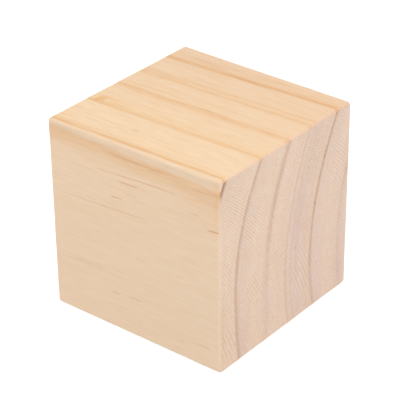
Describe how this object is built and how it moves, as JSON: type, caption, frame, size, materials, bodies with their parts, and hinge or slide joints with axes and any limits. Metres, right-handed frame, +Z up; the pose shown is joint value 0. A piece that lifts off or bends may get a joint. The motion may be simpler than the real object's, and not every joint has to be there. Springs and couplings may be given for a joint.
{
  "type": "wooden cube",
  "caption": "Solid square pine block with eased edges, for craft, spacing, stacking and bench set-up.",
  "frame": {"origin": "centre of the underside, where the cube stands", "axes": "+Z up, X along the grain, so the sawn end-grain faces look to -X and +X; -Y is the bark side of the growth rings"},
  "size_m": [0.06, 0.06, 0.06],
  "materials": {
    "pine": "bare sanded softwood, no varnish, with fine saw marks on the two end-grain faces"
  },
  "bodies": {
    "root": {"wooden_cube": "pine"}
  },
  "joints": []
}
